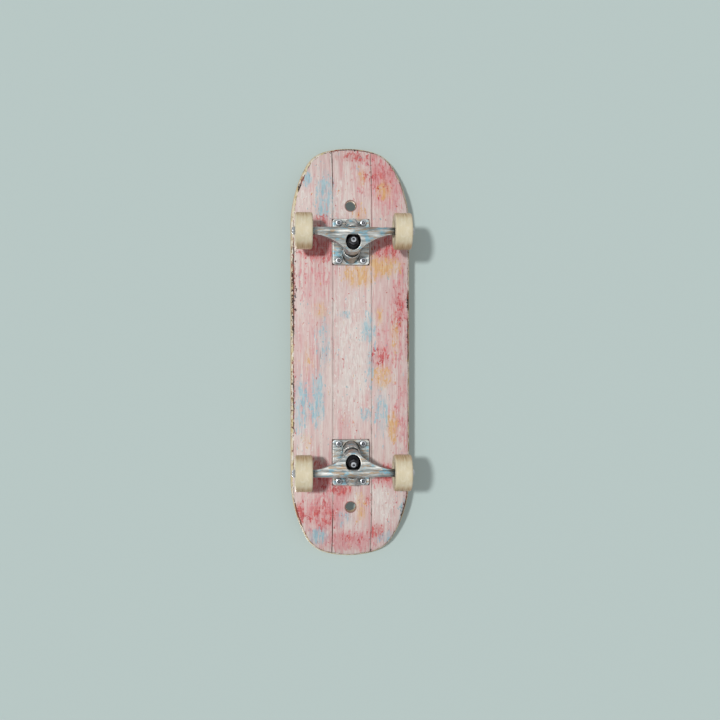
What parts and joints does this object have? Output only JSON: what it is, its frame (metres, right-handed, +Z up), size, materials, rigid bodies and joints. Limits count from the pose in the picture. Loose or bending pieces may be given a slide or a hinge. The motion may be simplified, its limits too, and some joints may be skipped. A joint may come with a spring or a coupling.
{
  "type": "skateboard",
  "caption": "Kicktail skateboard with a laminated maple deck, two leaning kingpin trucks and spinning urethane wheels on ball bearings.",
  "frame": {"origin": "on the floor under the middle of the deck, halfway between nose and tail", "axes": "+Y towards the nose, +Z up from the wheels to the deck, +X to the right of a rider who faces the nose"},
  "size_m": [0.2032, 0.702, 0.1321],
  "materials": {
    "painted_wood": "brushed pink paint, worn to wood at the edges",
    "maple": "bare laminated maple",
    "grip": "coarse grit sheet",
    "cast_aluminium": "cast, worn and lightly tarnished",
    "dark_steel": "blackened",
    "plated_steel": "zinc plated",
    "axle_steel": "turned",
    "bearing_steel": "ground",
    "cage_steel": "pressed",
    "black_urethane": "satin",
    "wheel_urethane": "cream urethane, scuffed tread"
  },
  "bodies": {
    "board": {"bottom_strip_left": "painted_wood", "bottom_strip_centre": "painted_wood", "bottom_strip_right": "painted_wood", "ply_2": "maple", "ply_3": "maple", "ply_4": "maple", "ply_5": "maple", "ply_6": "maple", "top_ply": "maple", "grip_tape": "grip", "front_truck_bolts": "dark_steel", "front_truck_nuts": "plated_steel", "rear_truck_bolts": "dark_steel", "rear_truck_nuts": "plated_steel", "front_baseplate": "cast_aluminium", "front_pivot_cup": "black_urethane", "front_kingpin": "axle_steel", "front_kingpin_nut": "dark_steel", "front_boardside_washer": "plated_steel", "front_boardside_bushing": "black_urethane", "front_roadside_bushing": "black_urethane", "front_roadside_washer": "dark_steel", "rear_baseplate": "cast_aluminium", "rear_pivot_cup": "black_urethane", "rear_kingpin": "axle_steel", "rear_kingpin_nut": "dark_steel", "rear_boardside_washer": "plated_steel", "rear_boardside_bushing": "black_urethane", "rear_roadside_bushing": "black_urethane", "rear_roadside_washer": "dark_steel"},
    "front_hanger_set": {"front_hanger": "cast_aluminium", "front_axle": "axle_steel", "front_axle_nuts": "plated_steel", "front_speed_washers": "plated_steel", "front_bearing_inner_rings": "bearing_steel", "front_bearing_spacers": "plated_steel"},
    "rear_hanger_set": {"rear_hanger": "cast_aluminium", "rear_axle": "axle_steel", "rear_axle_nuts": "plated_steel", "rear_speed_washers": "plated_steel", "rear_bearing_inner_rings": "bearing_steel", "rear_bearing_spacers": "plated_steel"},
    "front_left_wheel_set": {"front_left_wheel": "wheel_urethane", "front_left_outer_rings": "bearing_steel"},
    "front_left_cage_set": {"front_left_balls": "bearing_steel", "front_left_cages": "cage_steel"},
    "front_right_wheel_set": {"front_right_wheel": "wheel_urethane", "front_right_outer_rings": "bearing_steel"},
    "front_right_cage_set": {"front_right_balls": "bearing_steel", "front_right_cages": "cage_steel"},
    "rear_left_wheel_set": {"rear_left_wheel": "wheel_urethane", "rear_left_outer_rings": "bearing_steel"},
    "rear_left_cage_set": {"rear_left_balls": "bearing_steel", "rear_left_cages": "cage_steel"},
    "rear_right_wheel_set": {"rear_right_wheel": "wheel_urethane", "rear_right_outer_rings": "bearing_steel"},
    "rear_right_cage_set": {"rear_right_balls": "bearing_steel", "rear_right_cages": "cage_steel"}
  },
  "joints": [
    {"name": "front_truck_lean", "type": "hinge", "parent": "board", "child": "front_hanger_set", "pos_m": [0, 0.178, 0.042], "axis": [0, 0.8829, 0.4695], "range_deg": [-12, 12], "stiffness_Nm_per_rad": 30, "deforming": ["front_boardside_bushing", "front_roadside_bushing"]},
    {"name": "rear_truck_lean", "type": "hinge", "parent": "board", "child": "rear_hanger_set", "pos_m": [0, -0.178, 0.042], "axis": [0, -0.8829, 0.4695], "range_deg": [-12, 12], "stiffness_Nm_per_rad": 30, "deforming": ["rear_boardside_bushing", "rear_roadside_bushing"]},
    {"name": "front_left_wheel_spin", "type": "hinge", "parent": "front_hanger_set", "child": "front_left_wheel_set", "pos_m": [-0.082, 0.2, 0.0305], "axis": [1, 0, 0], "continuous": true},
    {"name": "front_left_cage_spin", "type": "hinge", "parent": "front_hanger_set", "child": "front_left_cage_set", "pos_m": [-0.082, 0.2, 0.0305], "axis": [1, 0, 0], "continuous": true},
    {"name": "front_right_wheel_spin", "type": "hinge", "parent": "front_hanger_set", "child": "front_right_wheel_set", "pos_m": [0.082, 0.2, 0.0305], "axis": [1, 0, 0], "continuous": true},
    {"name": "front_right_cage_spin", "type": "hinge", "parent": "front_hanger_set", "child": "front_right_cage_set", "pos_m": [0.082, 0.2, 0.0305], "axis": [1, 0, 0], "continuous": true},
    {"name": "rear_left_wheel_spin", "type": "hinge", "parent": "rear_hanger_set", "child": "rear_left_wheel_set", "pos_m": [-0.082, -0.2, 0.0305], "axis": [1, 0, 0], "continuous": true},
    {"name": "rear_left_cage_spin", "type": "hinge", "parent": "rear_hanger_set", "child": "rear_left_cage_set", "pos_m": [-0.082, -0.2, 0.0305], "axis": [1, 0, 0], "continuous": true},
    {"name": "rear_right_wheel_spin", "type": "hinge", "parent": "rear_hanger_set", "child": "rear_right_wheel_set", "pos_m": [0.082, -0.2, 0.0305], "axis": [1, 0, 0], "continuous": true},
    {"name": "rear_right_cage_spin", "type": "hinge", "parent": "rear_hanger_set", "child": "rear_right_cage_set", "pos_m": [0.082, -0.2, 0.0305], "axis": [1, 0, 0], "continuous": true}
  ],
  "couplings": [
    {"joint": "front_left_cage_spin", "follows": "front_left_wheel_spin", "ratio": 0.6323},
    {"joint": "front_right_cage_spin", "follows": "front_right_wheel_spin", "ratio": 0.6323},
    {"joint": "rear_left_cage_spin", "follows": "rear_left_wheel_spin", "ratio": 0.6323},
    {"joint": "rear_right_cage_spin", "follows": "rear_right_wheel_spin", "ratio": 0.6323}
  ]
}
